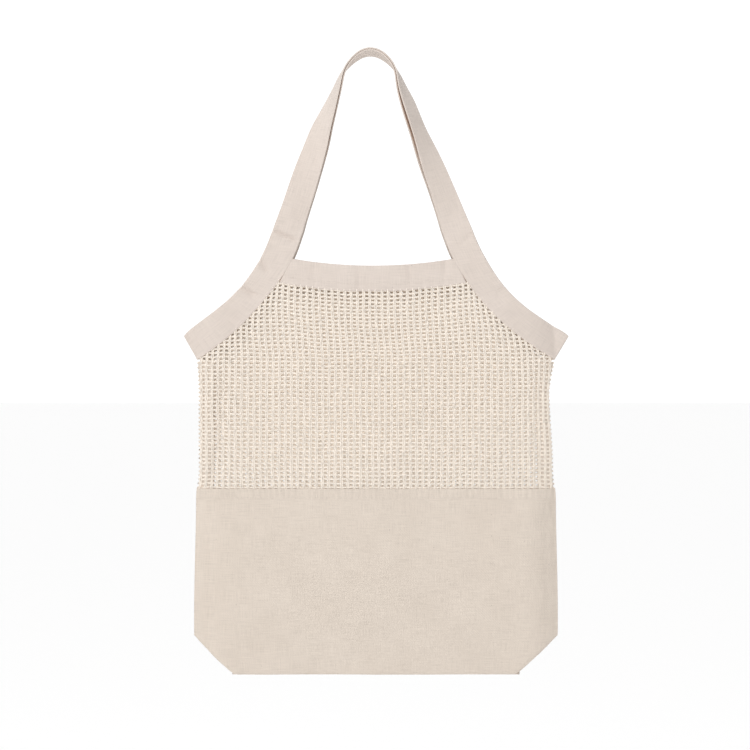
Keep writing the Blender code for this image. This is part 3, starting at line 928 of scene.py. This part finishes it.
def corner(side, hand):
    """The gusset's bottom corner, folded in behind the 45 degree edge."""
    sign, y_sign = HANDS[hand], SIDES[side]
    low = np.array([CREASE_X, HALF_DEPTH - 0.0010, 0.0003])
    high = np.array([SEAM_X - 0.0008, 0.0008, STRIP])
    tip = np.array([CREASE_X + 0.0008, 0.0007, STRIP * math.cos(FOLD) - 0.0003])
    p, q = spaced(0.0, 1.0, 0.05, 0.015), spaced(0.0, 0.985, 0.06, 0.015)
    edge = low + (high - low) * p[:, None]
    points = edge[None] + (tip - edge)[None] * q[:, None, None]
    points[..., 0] = sign * drawn_in(sign * points[..., 0], points[..., 2])
    points = points * np.array([sign, y_sign, 1.0]) + np.array([0.0, 0.0, BOTTOM])
    cloth = np.stack([points[..., 0], points[..., 2] - BOTTOM + 0.5], -1)
    if sign * y_sign > 0:
        points, cloth = points[:, ::-1], cloth[:, ::-1]
    piece = shell("%s_%s_corner_cloth" % (hand, side), points, cloth, CANVAS_THICK, CANVAS)
    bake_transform(piece)
    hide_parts("%s_%s_corner" % (hand, side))


def side_seam(hand):
    """The side seam's allowance, turned to the front inside the bag."""
    sign = HANDS[hand]
    c = CREASE_X + np.linspace(0.024, STRIP - 0.0012, 8)
    z = spaced(0.046, 0.325, 0.004)
    wobble = 0.0008 * waves(0 * z, z, 91, 0.030)
    u = c[None, :] + (wobble[:, None] * np.linspace(1.0, 0.0, 8)[None, :])
    height = z[:, None] + 0 * u
    points = cloth_point(sign * u, height, -1, -0.0014)
    cloth = np.stack([u, height + 0.7], -1)
    if sign < 0:
        points, cloth = points[:, ::-1], cloth[:, ::-1]
    piece = shell(hand + "_seam_allowance", points[:, ::-1], cloth[:, ::-1], CANVAS_THICK, CANVAS)
    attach(piece, hand + "_front_gusset")
    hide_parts(hand + "_side_seam")


def bottom_seam():
    """The bottom seam's allowance, on the front half of the base."""
    x = np.linspace(-0.132, 0.132, 60)
    v = spaced(0.027, 0.038, 0.003)
    depth = HALF_DEPTH - v * math.sin(FOLD) - 0.0016
    rise = v * math.cos(FOLD)
    u = x[None, :] + 0 * v[:, None]
    wave = 0.0004 * waves(u, 0 * u, 93, 0.04)
    points = np.stack([u, -(depth[:, None] + wave), rise[:, None] + BOTTOM + 0.0012 + 0 * u], -1)
    cloth = np.stack([u, v[:, None] + 0.9 + 0 * u], -1)
    piece = shell("base_seam_allowance", points, cloth, CANVAS_THICK, CANVAS)
    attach(piece, "front_base")
    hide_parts("bottom_seam")


# Studio -----------------------------------------------------------------------------------------

def grey_along(tree, direction, stops):
    """A grey that changes along one axis of the background, between two stops."""
    share = tree.nodes.new("ShaderNodeMath")
    share.operation = "MULTIPLY_ADD"
    share.inputs[1].default_value = 0.5
    share.inputs[2].default_value = 0.5
    tree.links.new(direction, share.inputs[0])
    ramp = tree.nodes.new("ShaderNodeValToRGB")
    for element, (place, grey) in zip(ramp.color_ramp.elements, stops):
        element.position = place
        element.color = (grey, grey, grey, 1.0)
    tree.links.new(share.outputs[0], ramp.inputs[0])
    return ramp.outputs[0]


def background():
    """A pale surround, brighter behind the bag than in front of it and dimmer to its right."""
    world = bpy.data.worlds.new("studio")
    world.use_nodes = True
    tree = world.node_tree
    back = tree.nodes["Background"]
    place = tree.nodes.new("ShaderNodeTexCoord")
    parts = tree.nodes.new("ShaderNodeSeparateXYZ")
    tree.links.new(place.outputs["Generated"], parts.inputs[0])
    mixed = tree.nodes.new("ShaderNodeMix")
    mixed.data_type = "RGBA"
    mixed.blend_type = "MULTIPLY"
    mixed.inputs[0].default_value = 1.0
    tree.links.new(grey_along(tree, parts.outputs[1], GREY_BY_Y), mixed.inputs[6])
    tree.links.new(grey_along(tree, parts.outputs[0], GREY_BY_X), mixed.inputs[7])
    tree.links.new(mixed.outputs[2], back.inputs["Color"])
    back.inputs["Strength"].default_value = 1.0
    bpy.context.scene.world = world


def pale_floor():
    """A wide white floor, well below the hanging bag."""
    size = FLOOR_HALF
    mesh = bpy.data.meshes.new("floor")
    mesh.from_pydata([(-size, -size, 0), (size, -size, 0), (size, size, 0), (-size, size, 0)], [],
                     [(0, 1, 2, 3)])
    floor = bpy.data.objects.new("floor", mesh)
    floor.location = (0.0, 0.0, -FLOOR_DROP)
    pale = bpy.data.materials.new("pale_floor")
    pale.use_nodes = True
    shader = pale.node_tree.nodes["Principled BSDF"]
    shader.inputs["Base Color"].default_value = (1.0, 1.0, 1.0, 1.0)
    shader.inputs["Roughness"].default_value = 0.95
    shader.inputs["Specular IOR Level"].default_value = 0.1
    mesh.materials.append(pale)
    bpy.context.scene.collection.objects.link(floor)


def studio():
    """The camera, the floor, the background and the lights."""
    scene = bpy.context.scene
    scene.view_settings.view_transform = "Standard"

    camera = bpy.data.objects.new("camera", bpy.data.cameras.new("camera"))
    camera.location = CAMERA_PLACE
    camera.rotation_euler = (math.pi / 2, 0.0, 0.0)
    camera.data.sensor_width = 36.0
    camera.data.lens = CAMERA_LENS
    scene.collection.objects.link(camera)
    scene.camera = camera

    pale_floor()
    background()

    key = bpy.data.lights.new("key", "AREA")
    key.shape = "RECTANGLE"
    key.size, key.size_y = KEY_SIZE, KEY_SIZE
    key.energy = KEY_WATTS
    lamp = bpy.data.objects.new("key", key)
    lamp.location = KEY_PLACE
    aim = np.array(KEY_AIM) - np.array(lamp.location)
    lamp.rotation_euler = (math.acos(-aim[2] / np.linalg.norm(aim)), 0.0,
                           math.atan2(aim[1], aim[0]) - math.pi / 2)
    scene.collection.objects.link(lamp)

    top = bpy.data.lights.new("overhead", "SUN")
    top.energy = OVERHEAD_STRENGTH
    top.angle = OVERHEAD_ANGLE
    overhead = bpy.data.objects.new("overhead", top)
    scene.collection.objects.link(overhead)


studio()
for side_name in SIDES:
    for hand_name in HANDS:
        canvas_half(side_name, hand_name)
        net_half(side_name, hand_name)
        binding_end(side_name, hand_name)
        corner(side_name, hand_name)
    top_band(side_name)
    strap(side_name)
    base_half(side_name)
for hand_name in HANDS:
    side_seam(hand_name)
bottom_seam()
